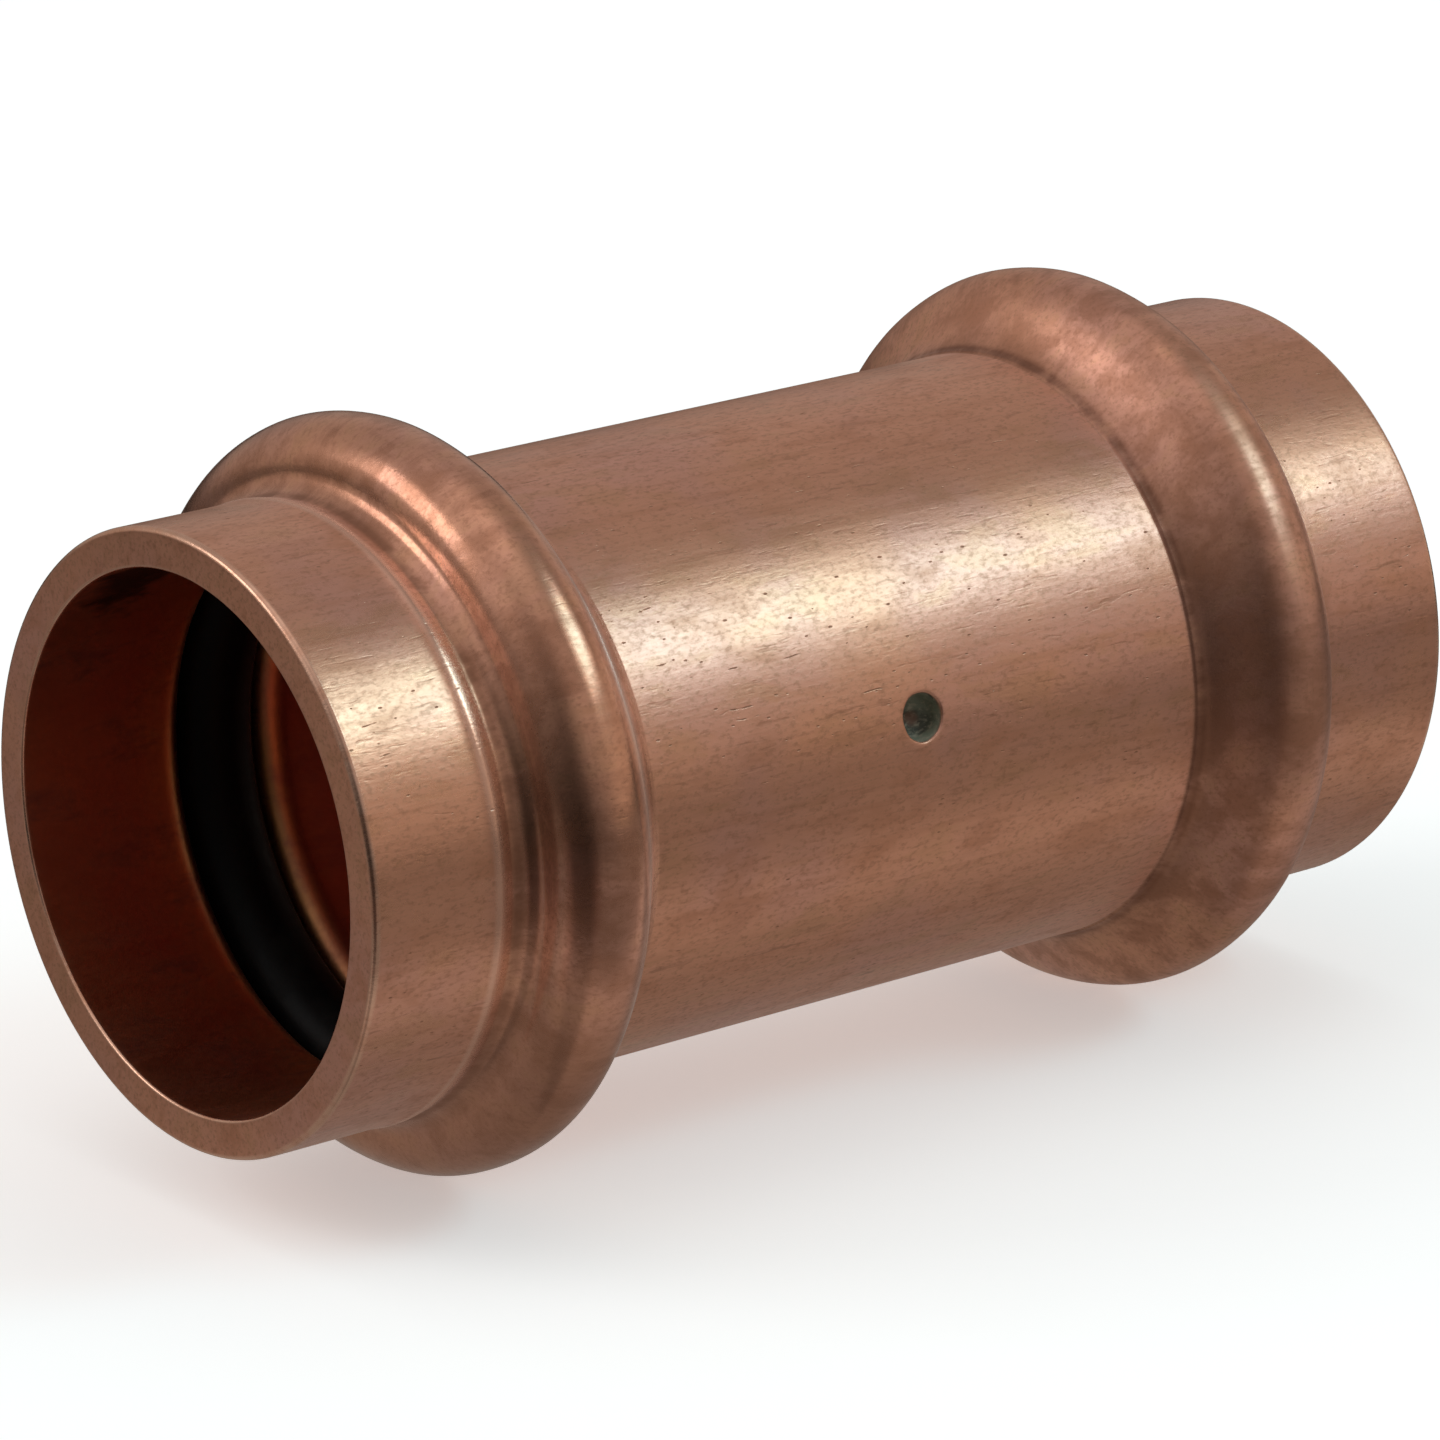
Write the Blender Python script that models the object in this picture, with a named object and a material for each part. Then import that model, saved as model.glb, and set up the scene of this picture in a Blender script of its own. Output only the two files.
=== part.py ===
"""A press-fit copper coupling for 1/2 in. copper water tube.

The body is one piece of copper tube. Near each end it is swelled outwards into
a hollow bead, and each bead holds a rubber sealing ring. A short collar carries
on past each bead as the mouth that the press jaws clamp. Two dimples punched
into the middle of the tube stop the pipes that are pushed in from either end.

Frame: metres, origin at the middle of the coupling on the bore's axis,
+X along the bore, +Z up.
"""

import math

import bmesh
import bpy
from mathutils import Matrix, Vector

MM = 0.001
QUARTER_TURN = math.pi / 2

# ---- copper body -----------------------------------------------------------
HALF_LENGTH = 20.45 * MM        # mouth to middle
BORE_RADIUS = 8.05 * MM         # sockets, a slip fit on the pipe
MIDDLE_BORE_RADIUS = 7.99 * MM  # between the beads
COLLAR_RADIUS = 9.255 * MM      # outside of the mouths
TUBE_RADIUS = 9.14 * MM         # outside of the middle
RIM_CHAMFER = 0.10 * MM         # broken edges of the mouths
BODY_SEGMENTS = 48

# ---- beads -----------------------------------------------------------------
BEAD_RADIUS = 11.32 * MM        # outside of the bead's crest
BEAD_X = 13.15 * MM             # crest, from the middle

# On the mouth side the bead falls from its crest in a round arc, almost to
# upright, and a fillet leads it into the collar.
MOUTH_ARC_RADIUS = 1.70 * MM
MOUTH_ARC_STEPS = 7
FOOT_FILLET_RADIUS = 0.75 * MM
FOOT_FILLET_STEPS = 5

# On the middle side it falls as (1 - u**inner)**outer, with u running from 0 at
# the crest to 1 at the foot, and meets the tube in a crease.
MIDDLE_SIDE_WIDTH = 2.91 * MM
MIDDLE_SIDE_INNER_POWER = 2.556
MIDDLE_SIDE_OUTER_POWER = 2.342
MIDDLE_SIDE_STATIONS = (1.0, 0.86, 0.74, 0.62, 0.5, 0.35, 0.18)  # u, foot first

# ---- grooves inside the beads ----------------------------------------------
GROOVE_RADIUS = 1.28 * MM       # round seat of the sealing ring, in section
GROOVE_CENTRE_RADIUS = 8.88 * MM
GROOVE_STEPS = 10
SHOULDER_RADIUS = 1.00 * MM     # rounds the groove's edges into the bore
SHOULDER_STEPS = 4

# ---- tube stop -------------------------------------------------------------
DIMPLE_X = -0.25 * MM
DIMPLE_TURN = math.radians(12.6)  # above the -Y side; the second is opposite
DIMPLE_RADIUS = 0.72 * MM
DIMPLE_DEPTH = 0.95 * MM        # to the rim of the dished floor
DIMPLE_FLOOR = TUBE_RADIUS - DIMPLE_DEPTH
STOP_FOOT_RADIUS = 1.55 * MM    # copper pushed into the bore
STOP_TIP_RADIUS = 0.95 * MM
STOP_HEIGHT = 0.95 * MM         # how far it stands into the bore
STOP_TIP = MIDDLE_BORE_RADIUS - STOP_HEIGHT
PUNCH_SEGMENTS = 20

# Round sections as (distance from the bore's axis, radius), innermost first.
STOP_SECTIONS = (
    (STOP_TIP, STOP_TIP_RADIUS * 0.72),
    (STOP_TIP + 0.12 * MM, STOP_TIP_RADIUS),
    (MIDDLE_BORE_RADIUS - 0.15 * MM, STOP_FOOT_RADIUS - 0.12 * MM),
    (MIDDLE_BORE_RADIUS + 0.35 * MM, STOP_FOOT_RADIUS),
)
RECESS_SECTIONS = (
    (DIMPLE_FLOOR - 0.12 * MM, DIMPLE_RADIUS * 0.35),
    (DIMPLE_FLOOR, DIMPLE_RADIUS * 0.8),
    (DIMPLE_FLOOR + 0.2 * MM, DIMPLE_RADIUS * 0.94),
    (TUBE_RADIUS - 0.1 * MM, DIMPLE_RADIUS),
    (TUBE_RADIUS + 1.0 * MM, DIMPLE_RADIUS * 1.02),
)

# ---- sealing rings ---------------------------------------------------------
RING_SECTION_RADIUS = 1.04 * MM
RING_CENTRE_RADIUS = 8.86 * MM
RING_SEGMENTS = 40
RING_SECTION_SEGMENTS = 12

# Edges turned by more than this are shaded sharp, in degrees.
BODY_SHARP_ANGLE = 30
RING_SHARP_ANGLE = 60


def clear_scene():
    for obj in list(bpy.data.objects):
        bpy.data.objects.remove(obj, do_unlink=True)


def principled(name, colour, roughness, metallic):
    material = bpy.data.materials.new(name)
    material.use_nodes = True
    shader = material.node_tree.nodes["Principled BSDF"]
    shader.inputs["Base Color"].default_value = colour
    shader.inputs["Roughness"].default_value = roughness
    shader.inputs["Metallic"].default_value = metallic
    return material


def object_from(name, bm):
    mesh = bpy.data.meshes.new(name)
    bm.to_mesh(mesh)
    bm.free()
    obj = bpy.data.objects.new(name, mesh)
    bpy.context.scene.collection.objects.link(obj)
    return obj


def turned(name, outline, segments, material, sharp_angle):
    """A closed section of (x, radius) points spun once round the X axis."""
    bm = bmesh.new()
    points = [bm.verts.new((x, 0.0, radius)) for x, radius in outline]
    edges = [bm.edges.new(ends) for ends in zip(points, points[1:] + points[:1])]
    bmesh.ops.spin(
        bm,
        geom=points + edges,
        cent=(0, 0, 0),
        axis=(1, 0, 0),
        angle=2 * math.pi,
        steps=segments,
        use_merge=True,
    )
    bmesh.ops.remove_doubles(bm, verts=bm.verts, dist=1e-7)
    bmesh.ops.recalc_face_normals(bm, faces=bm.faces)
    obj = object_from(name, bm)
    obj.data.materials.append(material)
    obj.data.shade_smooth()
    obj.data.set_sharp_from_angle(angle=math.radians(sharp_angle))
    return obj


# ---- the body's outline, as (x, radius) points -----------------------------
def arc(centre, radius, start, end, steps):
    """Points on an arc in the section plane, angles in radians."""
    angles = [start + (end - start) * i / steps for i in range(steps + 1)]
    return [
        (centre[0] + radius * math.cos(angle), centre[1] + radius * math.sin(angle))
        for angle in angles
    ]


def tangent_offset(rise, reach):
    """Where the centre of a touching arc lies, at this rise and this distance
    from another arc's centre: how far beside it, and in which direction."""
    beside = math.sqrt(reach**2 - rise**2)
    return beside, math.atan2(rise, beside)


def groove():
    """The inside of the +X bead, from the middle bore to the mouth's bore:
    shoulder, round seat, shoulder, each tangent to the next."""
    reach = GROOVE_RADIUS + SHOULDER_RADIUS
    middle_height = MIDDLE_BORE_RADIUS + SHOULDER_RADIUS
    mouth_height = BORE_RADIUS + SHOULDER_RADIUS
    middle_beside, middle_turn = tangent_offset(middle_height - GROOVE_CENTRE_RADIUS, reach)
    mouth_beside, mouth_turn = tangent_offset(mouth_height - GROOVE_CENTRE_RADIUS, reach)
    middle_shoulder = arc(
        (BEAD_X - middle_beside, middle_height), SHOULDER_RADIUS,
        -QUARTER_TURN, -middle_turn, SHOULDER_STEPS,
    )
    seat = arc(
        (BEAD_X, GROOVE_CENTRE_RADIUS), GROOVE_RADIUS,
        math.pi - middle_turn, mouth_turn, GROOVE_STEPS,
    )
    mouth_shoulder = arc(
        (BEAD_X + mouth_beside, mouth_height), SHOULDER_RADIUS,
        -math.pi + mouth_turn, -QUARTER_TURN, SHOULDER_STEPS,
    )
    return middle_shoulder + seat[1:] + mouth_shoulder[1:]


def middle_side_point(u):
    fall = (1 - u**MIDDLE_SIDE_INNER_POWER) ** MIDDLE_SIDE_OUTER_POWER
    return BEAD_X - MIDDLE_SIDE_WIDTH * u, TUBE_RADIUS + (BEAD_RADIUS - TUBE_RADIUS) * fall


def bead():
    """The outside of the +X bead, from the middle side's foot to the mouth
    side's."""
    arc_height = BEAD_RADIUS - MOUTH_ARC_RADIUS
    fillet_height = COLLAR_RADIUS + FOOT_FILLET_RADIUS
    beside, turn = tangent_offset(
        fillet_height - arc_height, MOUTH_ARC_RADIUS + FOOT_FILLET_RADIUS
    )
    middle_side = [middle_side_point(u) for u in MIDDLE_SIDE_STATIONS]
    mouth_arc = arc(
        (BEAD_X, arc_height), MOUTH_ARC_RADIUS, QUARTER_TURN, turn, MOUTH_ARC_STEPS
    )
    fillet = arc(
        (BEAD_X + beside, fillet_height), FOOT_FILLET_RADIUS,
        math.pi + turn, 3 * QUARTER_TURN, FOOT_FILLET_STEPS,
    )
    return middle_side + mouth_arc + fillet[1:]


def both_ends(half):
    """Points running from the middle to the +X mouth, led in by their mirror
    image from the -X mouth."""
    return [(-x, radius) for x, radius in reversed(half)] + half


def body_outline():
    """The body's closed section: +X along the outside, then back along the
    bore."""
    chamfer_x = HALF_LENGTH - RIM_CHAMFER
    outside = bead() + [(chamfer_x, COLLAR_RADIUS), (HALF_LENGTH, COLLAR_RADIUS - RIM_CHAMFER)]
    inside = groove() + [(chamfer_x, BORE_RADIUS), (HALF_LENGTH, BORE_RADIUS + RIM_CHAMFER)]
    return both_ends(outside) + both_ends(inside)[::-1]


# ---- the tube stop ---------------------------------------------------------
def radial_frame(turn):
    """A frame whose local Z points outwards at this turn about the bore, with
    its origin on the bore's axis at the dimple's x."""
    out = Vector((0.0, -math.cos(turn), math.sin(turn)))
    along = Vector((1.0, 0.0, 0.0))
    matrix = Matrix((along, out.cross(along), out)).transposed().to_4x4()
    matrix.translation = Vector((DIMPLE_X, 0.0, 0.0))
    return matrix


def punch_solid(name, sections, turn):
    """A hidden closed solid through round sections, standing radially."""
    bm = bmesh.new()
    angles = [2 * math.pi * i / PUNCH_SEGMENTS for i in range(PUNCH_SEGMENTS)]
    loops = [
        [bm.verts.new((radius * math.cos(a), radius * math.sin(a), height)) for a in angles]
        for height, radius in sections
    ]
    for lower, upper in zip(loops, loops[1:]):
        for i in range(PUNCH_SEGMENTS):
            j = (i + 1) % PUNCH_SEGMENTS
            bm.faces.new((lower[i], lower[j], upper[j], upper[i]))
    bm.faces.new(loops[0][::-1])
    bm.faces.new(loops[-1])
    bmesh.ops.recalc_face_normals(bm, faces=bm.faces)
    bmesh.ops.transform(bm, matrix=radial_frame(turn), verts=bm.verts)
    obj = object_from(name, bm)
    obj.hide_render = True
    obj.display_type = "WIRE"
    return obj


def punch_dimple(body, name, turn):
    """Add the copper that stands into the bore, then cut the recess behind it."""
    for part, sections, operation in (
        ("stop", STOP_SECTIONS, "UNION"),
        ("recess", RECESS_SECTIONS, "DIFFERENCE"),
    ):
        helper = punch_solid(f"{name}_{part}", sections, turn)
        modifier = body.modifiers.new(helper.name, "BOOLEAN")
        modifier.operation = operation
        modifier.solver = "EXACT"
        modifier.object = helper


# ---- the pieces ------------------------------------------------------------
def fitting_body(material):
    body = turned("fitting_body", body_outline(), BODY_SEGMENTS, material, BODY_SHARP_ANGLE)
    punch_dimple(body, "near_dimple", DIMPLE_TURN)
    punch_dimple(body, "far_dimple", DIMPLE_TURN + math.pi)
    return body


def sealing_ring(name, x, material, body):
    angles = [2 * math.pi * i / RING_SECTION_SEGMENTS for i in range(RING_SECTION_SEGMENTS)]
    section = [
        (RING_SECTION_RADIUS * math.cos(a), RING_CENTRE_RADIUS + RING_SECTION_RADIUS * math.sin(a))
        for a in angles
    ]
    ring = turned(name, section, RING_SEGMENTS, material, RING_SHARP_ANGLE)
    ring.location.x = x
    ring.parent = body


def build():
    clear_scene()
    copper = principled("copper", colour=(0.60, 0.33, 0.22, 1.0), roughness=0.34, metallic=1.0)
    rubber = principled(
        "epdm_rubber", colour=(0.012, 0.012, 0.013, 1.0), roughness=0.55, metallic=0.0
    )
    body = fitting_body(copper)
    sealing_ring("o_ring_left", -BEAD_X, rubber, body)
    sealing_ring("o_ring_right", BEAD_X, rubber, body)


build()
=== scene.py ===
"""Looks for the copper press coupling: a finely turned copper body, the two
rubber sealing rings, and a plain studio.

The tube's axis lies along X, with the swelled beads at -X and +X. Two round
dimples, a little left of the middle at -X, face -Y and +Y, the first turned
towards +Z. Turns round the axis are counted from -Y towards +Z."""

import math
from functools import reduce
from types import SimpleNamespace

import bmesh
import bpy
import numpy as np
from mathutils import Matrix, Vector


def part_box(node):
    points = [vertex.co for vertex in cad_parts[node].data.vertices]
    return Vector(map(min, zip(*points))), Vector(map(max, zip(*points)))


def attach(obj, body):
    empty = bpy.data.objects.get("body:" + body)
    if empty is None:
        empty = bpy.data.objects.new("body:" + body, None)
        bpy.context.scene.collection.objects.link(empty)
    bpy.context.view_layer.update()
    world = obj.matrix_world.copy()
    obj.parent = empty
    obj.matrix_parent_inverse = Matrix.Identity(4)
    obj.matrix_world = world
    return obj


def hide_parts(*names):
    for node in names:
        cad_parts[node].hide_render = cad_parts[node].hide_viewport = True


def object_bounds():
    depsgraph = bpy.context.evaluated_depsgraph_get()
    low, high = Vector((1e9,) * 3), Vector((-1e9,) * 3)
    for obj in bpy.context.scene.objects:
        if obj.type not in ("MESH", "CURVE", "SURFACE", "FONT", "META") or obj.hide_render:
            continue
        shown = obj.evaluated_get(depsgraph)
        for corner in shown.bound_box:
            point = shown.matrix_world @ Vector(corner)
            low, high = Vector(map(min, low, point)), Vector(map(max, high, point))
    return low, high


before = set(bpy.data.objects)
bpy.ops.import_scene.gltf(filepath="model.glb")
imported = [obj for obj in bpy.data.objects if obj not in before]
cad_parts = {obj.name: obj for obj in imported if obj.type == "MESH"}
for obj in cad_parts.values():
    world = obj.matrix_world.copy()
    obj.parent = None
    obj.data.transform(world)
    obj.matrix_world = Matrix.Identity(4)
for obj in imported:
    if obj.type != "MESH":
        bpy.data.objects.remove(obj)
cad_lo, cad_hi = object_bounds()
scene = bpy.context.scene

MM = 0.001


def mm(*values, base=0.0):
    """Millimetres as a tuple of metres, counted from base (in metres)."""
    return tuple(base + value * MM for value in values)


# ---------------------------------------------------------------------------
# Sizes. The box and the rings' place come from the frame.
# ---------------------------------------------------------------------------
body_lo, body_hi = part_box("fitting_body")
ring_lo, ring_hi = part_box("o_ring_right")
HALF_LENGTH = (body_hi.x - body_lo.x) / 2
BEAD_RADIUS = (body_hi.z - body_lo.z) / 2
BEAD_X = (ring_lo.x + ring_hi.x) / 2

BORE_RADIUS = 8.05 * MM
MIDDLE_BORE_RADIUS = 7.99 * MM
COLLAR_RADIUS = 9.255 * MM
TUBE_RADIUS = 9.14 * MM
GROOVE_RADIUS = 1.30 * MM
GROOVE_CENTRE_RADIUS = 8.88 * MM
SHOULDER_RADIUS = 1.00 * MM
MOUTH_ARC_RADIUS = 1.70 * MM
FOOT_FILLET_RADIUS = 0.75 * MM
RIM_OUTER_ROUND = 0.19 * MM
RIM_INNER_ROUND = 0.10 * MM
RIM_MARGIN = 0.35 * MM  # last plain station before the end face

# The bead's side towards the middle: height share (1 - u**inner) ** outer.
SWELL_WIDTH = 2.91 * MM
SWELL_INNER_POWER = 2.556
SWELL_OUTER_POWER = 2.342

CREASE_X = 10.32 * MM
CREASE_STEP = 0.060 * MM
CREASE_SHARE_LEFT = 0.3  # of the step, at -X
CREASE_START = CREASE_X - 0.3 * MM

# Roll of the -X collar, in mm: height, distance beyond the bead's foot, width.
COLLAR_ROLL = ((0.055, 0.50, 0.24), (-0.025, 0.02, 0.17))

# Stations in mm, from the crease and from the bead's foot.
CREASE_STATIONS = (-0.12, -0.06, -0.035, -0.01, 0.015, 0.04, 0.065, 0.1, 0.18, 0.28)
COLLAR_STATIONS = (
    0.05, 0.1, 0.16, 0.22, 0.28, 0.34, 0.4, 0.46, 0.52,
    0.58, 0.64, 0.72, 0.8, 0.9, 1.0, 1.15, 1.4,
)

SEGMENTS = 240
DIMPLE_X = -0.25 * MM
DIMPLE_TURN = math.radians(12.6)
DIMPLE_CELL = 0.18 * MM
DIMPLE_CELLS = 7  # cells each way from the dimple's centre
DIMPLE_COLUMNS = (0, SEGMENTS // 2)
# Punched recess in mm: radius, depth.
RECESS = (
    (0.98, 0.0), (0.88, 0.0), (0.80, 0.002), (0.765, 0.007), (0.742, 0.022),
    (0.728, 0.05), (0.718, 0.10), (0.708, 0.18), (0.698, 0.28), (0.69, 0.38),
    (0.675, 0.47), (0.65, 0.545), (0.60, 0.60), (0.52, 0.635), (0.42, 0.655),
    (0.30, 0.67), (0.22, 0.70), (0.14, 0.75), (0.06, 0.785),
)
RECESS_CENTRE_DEPTH = 0.795 * MM

# The bump in the bore behind each dimple.
STOP_FLAT_RADIUS = 0.45 * MM
STOP_RADIUS = 1.55 * MM
STOP_HEIGHT = 0.93 * MM
STOP_REACH = 4 * MM  # stretch of bore that may be raised
STOP_CELL = 0.16 * MM
STOP_CELLS = 10

# Unevenness: height in mm, waves round, phase, phase added at +X, drift per metre.
TUBE_WAVES = ((0.006, 2, 0.6, 0.0, 20), (0.004, 3, 2.1, 0.0, -60))
BEAD_WAVES = ((0.012, 5, 1.3, 2.2, 0), (0.008, 9, 0.0, 4.0, 900), (0.006, 14, 0.0, 2.0, -1300))
BEAD_WAVE_WIDTH = 1.9 * MM

RING_SECTION = 1.26 * MM
RING_CENTRE = 8.87 * MM
RING_SEGMENTS = 240
RING_SECTION_SEGMENTS = 48
FLASH_HEIGHT = 0.018 * MM
FLASH_WIDTH = 0.07  # radians round the section
RING_OVAL = 0.012 * MM
RING_WAVE = 0.015 * MM


# ---------------------------------------------------------------------------
# Section of the body, as (x, radius) points
# ---------------------------------------------------------------------------
def smoothstep(start, end, value):
    share = np.clip((value - start) / (end - start), 0.0, 1.0)
    return share * share * (3 - 2 * share)


def mouth_side_arcs():
    """Centres of the bead's arc and of its foot's fillet, and the direction in
    which one passes into the other."""
    low = BEAD_RADIUS - MOUTH_ARC_RADIUS
    high = COLLAR_RADIUS + FOOT_FILLET_RADIUS
    beside = math.sqrt((MOUTH_ARC_RADIUS + FOOT_FILLET_RADIUS) ** 2 - (high - low) ** 2)
    return (BEAD_X, low), (BEAD_X + beside, high), math.atan2(high - low, beside)


FOOT_X = mouth_side_arcs()[1][0]


def outside_radius(x):
    """Outside radius anywhere but on the mouth side of a bead."""
    from_middle = abs(x)
    if from_middle >= BEAD_X:
        radius = COLLAR_RADIUS
        if x < 0:
            for height, beyond, width in COLLAR_ROLL:
                offset = (from_middle - (FOOT_X + beyond * MM)) / (width * MM)
                radius += height * MM * math.exp(-offset * offset)
        return radius
    radius = TUBE_RADIUS
    share = abs(from_middle - BEAD_X) / SWELL_WIDTH
    if share < 1:
        swell = (1 - share**SWELL_INNER_POWER) ** SWELL_OUTER_POWER
        radius += (BEAD_RADIUS - TUBE_RADIUS) * swell
    # A crisp crease where the swelled part begins.
    step = CREASE_STEP if x > 0 else CREASE_SHARE_LEFT * CREASE_STEP
    rise = smoothstep(*mm(-0.06, 0.06, base=CREASE_X), from_middle)
    fade = 1 - smoothstep(*mm(0.1, 1.2, base=CREASE_X), from_middle)
    return radius + step * rise * fade


def arc(centre_x, centre_radius, radius, start, end, steps):
    angles = [start + (end - start) * i / steps for i in range(steps + 1)]
    return [
        (centre_x + radius * math.cos(angle), centre_radius + radius * math.sin(angle))
        for angle in angles
    ]


def shoulder(bore):
    """Distance of a shoulder's centre beside the groove's, and the direction
    in which the two arcs meet."""
    height = bore + SHOULDER_RADIUS - GROOVE_CENTRE_RADIUS
    reach = GROOVE_RADIUS + SHOULDER_RADIUS
    beside = math.sqrt(reach**2 - height**2)
    return beside, math.atan2(height, beside)


def groove():
    """The +X ring's groove with its rounded shoulders, towards +X."""
    middle_beside, middle_turn = shoulder(MIDDLE_BORE_RADIUS)
    mouth_beside, mouth_turn = shoulder(BORE_RADIUS)
    middle = (BEAD_X - middle_beside, MIDDLE_BORE_RADIUS + SHOULDER_RADIUS)
    mouth = (BEAD_X + mouth_beside, BORE_RADIUS + SHOULDER_RADIUS)
    down = -math.pi / 2
    hollow = (GROOVE_RADIUS, math.pi - middle_turn, mouth_turn)
    return (
        arc(*middle, SHOULDER_RADIUS, down, -middle_turn, 9)
        + arc(BEAD_X, GROOVE_CENTRE_RADIUS, *hollow, 18)[1:]
        + arc(*mouth, SHOULDER_RADIUS, -math.pi + mouth_turn, down, 9)[1:]
    )


def outside_side(side):
    """Outside points of one side, +1 or -1, from the dimple's cells to the rim."""
    cells_end = DIMPLE_X + side * DIMPLE_CELLS * DIMPLE_CELL
    plain = np.linspace(cells_end, side * CREASE_START, 12)[1:]

    swell = list(mm(*CREASE_STATIONS, base=CREASE_X))
    swell += list(np.linspace(CREASE_X + 0.4 * MM, BEAD_X, 24))[:-1]
    crest, foot, turn = mouth_side_arcs()
    bead = arc(*crest, MOUTH_ARC_RADIUS, math.pi / 2, turn, 20)
    # The fillet's foot follows the collar's roll.
    fillet = [
        (x, r + outside_radius(side * x) - COLLAR_RADIUS) if x > FOOT_X - 0.3 * MM else (x, r)
        for x, r in arc(*foot, FOOT_FILLET_RADIUS, math.pi + turn, 1.5 * math.pi, 12)[1:]
    ]
    collar = list(mm(*COLLAR_STATIONS, base=FOOT_X))
    collar += list(np.linspace(FOOT_X + 1.8 * MM, HALF_LENGTH - RIM_MARGIN, 6))

    outer = [(x, outside_radius(side * x)) for x in swell] + bead + fillet
    outer += [(x, outside_radius(side * x)) for x in collar]
    return [(x, outside_radius(x)) for x in plain] + [(side * x, r) for x, r in outer]


def rim():
    """The +X end face with its rounded edges, from outside to bore."""
    outer = COLLAR_RADIUS - RIM_OUTER_ROUND
    inner = BORE_RADIUS + RIM_INNER_ROUND
    return (
        arc(HALF_LENGTH - RIM_OUTER_ROUND, outer, RIM_OUTER_ROUND, math.pi / 2, 0, 8)
        + [(HALF_LENGTH, r) for r in np.linspace(outer, inner, 9)[1:-1]]
        + arc(HALF_LENGTH - RIM_INNER_ROUND, inner, RIM_INNER_ROUND, 0, -math.pi / 2, 5)
    )


def mirrored(points):
    return [(-x, r) for x, r in reversed(points)]


def body_section():
    """Closed section, the index where the dimple's cells begin, and the number
    of outside points."""
    left = outside_side(-1)
    cells = range(-DIMPLE_CELLS, DIMPLE_CELLS + 1)
    middle = [(DIMPLE_X + k * DIMPLE_CELL, TUBE_RADIUS) for k in cells]
    outside = left[::-1] + middle + outside_side(1)

    mouth = np.linspace(HALF_LENGTH - RIM_MARGIN, BEAD_X + 2.5 * MM, 7)
    inner = [(x, BORE_RADIUS) for x in mouth] + groove()[::-1]
    reach = (STOP_CELLS + 1) * STOP_CELL
    groove_side = BEAD_X - 2.6 * MM
    bore = list(np.linspace(groove_side, DIMPLE_X + reach, 9))
    bore += [DIMPLE_X + k * STOP_CELL for k in range(STOP_CELLS, -STOP_CELLS - 1, -1)]
    bore += list(np.linspace(DIMPLE_X - reach, -groove_side, 9))
    bore = [(x, MIDDLE_BORE_RADIUS) for x in bore]
    section = outside + rim() + inner + bore + mirrored(inner) + mirrored(rim())
    return np.array(section), len(left), len(outside)


# ---------------------------------------------------------------------------
# Meshes
# ---------------------------------------------------------------------------
def waves(table, x, turn):
    right = np.where(x > 0, 1.0, 0.0)
    return sum(
        height * np.cos(count * turn + phase + right_phase * right + drift * x)
        for height, count, phase, right_phase, drift in table
    )


def wobble(x, turn):
    """Small unevenness of the drawn tube and of its swelled beads, in metres."""
    bead = np.exp(-(((np.abs(x) - BEAD_X) / BEAD_WAVE_WIDTH) ** 2))
    return (waves(TUBE_WAVES, x, turn) + bead * waves(BEAD_WAVES, x, turn)) * MM


def around(x, radius, turn):
    """Points at a radius and turn round the X axis."""
    return np.stack([x, -radius * np.cos(turn), radius * np.sin(turn)], axis=-1)


def angle_gap(angle, centre):
    return (angle - centre + math.pi) % (2 * math.pi) - math.pi


def grid_quads(rows, columns):
    """Vertex numbers of the quads of a grid that closes both ways."""
    i, j = np.meshgrid(np.arange(rows), np.arange(columns), indexing="ij")
    row, next_row = i * columns, (i + 1) % rows * columns
    next_j = (j + 1) % columns
    return np.stack([row + j, row + next_j, next_row + next_j, next_row + j], axis=-1)


def add_recess(verts, faces, first_row, column):
    """Fill one opening with a round, punched recess, joined ring by ring."""
    turn = DIMPLE_TURN + 2 * math.pi * column / SEGMENTS
    n = DIMPLE_CELLS
    border = [(0, k) for k in range(-n, n)] + [(k, n) for k in range(2 * n)]
    border += [(2 * n, k) for k in range(n, -n, -1)] + [(k, -n) for k in range(2 * n, 0, -1)]
    pitch = 2 * math.pi / SEGMENTS
    flat = np.array([((i - n) * DIMPLE_CELL, j * pitch * TUBE_RADIUS) for i, j in border])
    angles = np.arctan2(flat[:, 1], flat[:, 0])
    unit = np.stack([np.cos(angles), np.sin(angles)], axis=1)

    def put(points, depth):
        """Add flat (along, round) points laid on the tube; return their numbers."""
        x = DIMPLE_X + points[:, 0]
        turns = turn + points[:, 1] / TUBE_RADIUS
        start = len(verts)
        verts.extend(around(x, TUBE_RADIUS + wobble(x, turns) - depth, turns).tolist())
        return list(range(start, len(verts)))

    rings = [[(first_row + i) * SEGMENTS + (column + j) % SEGMENTS for i, j in border]]
    # From the square opening to the first circle.
    first_circle = unit * RECESS[0][0] * MM
    for share in (0.35, 0.7):
        rings.append(put(flat * (1 - share) + first_circle * share, 0.0))
    ragged = 1 + 0.012 * np.sin(3 * angles + 1.0) + 0.008 * np.sin(7 * angles)
    for radius, depth in RECESS:
        rings.append(put(unit * ragged[:, None] * radius * MM, depth * MM))
    centre = put(np.zeros((1, 2)), RECESS_CENTRE_DEPTH)[0]

    count = len(border)
    for outer, inner in zip(rings, rings[1:]):
        for k in range(count):
            after = (k + 1) % count
            faces.append((outer[k], outer[after], inner[after], inner[k]))
    last = rings[-1]
    faces.extend((last[k], last[(k + 1) % count], centre) for k in range(count))


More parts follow.
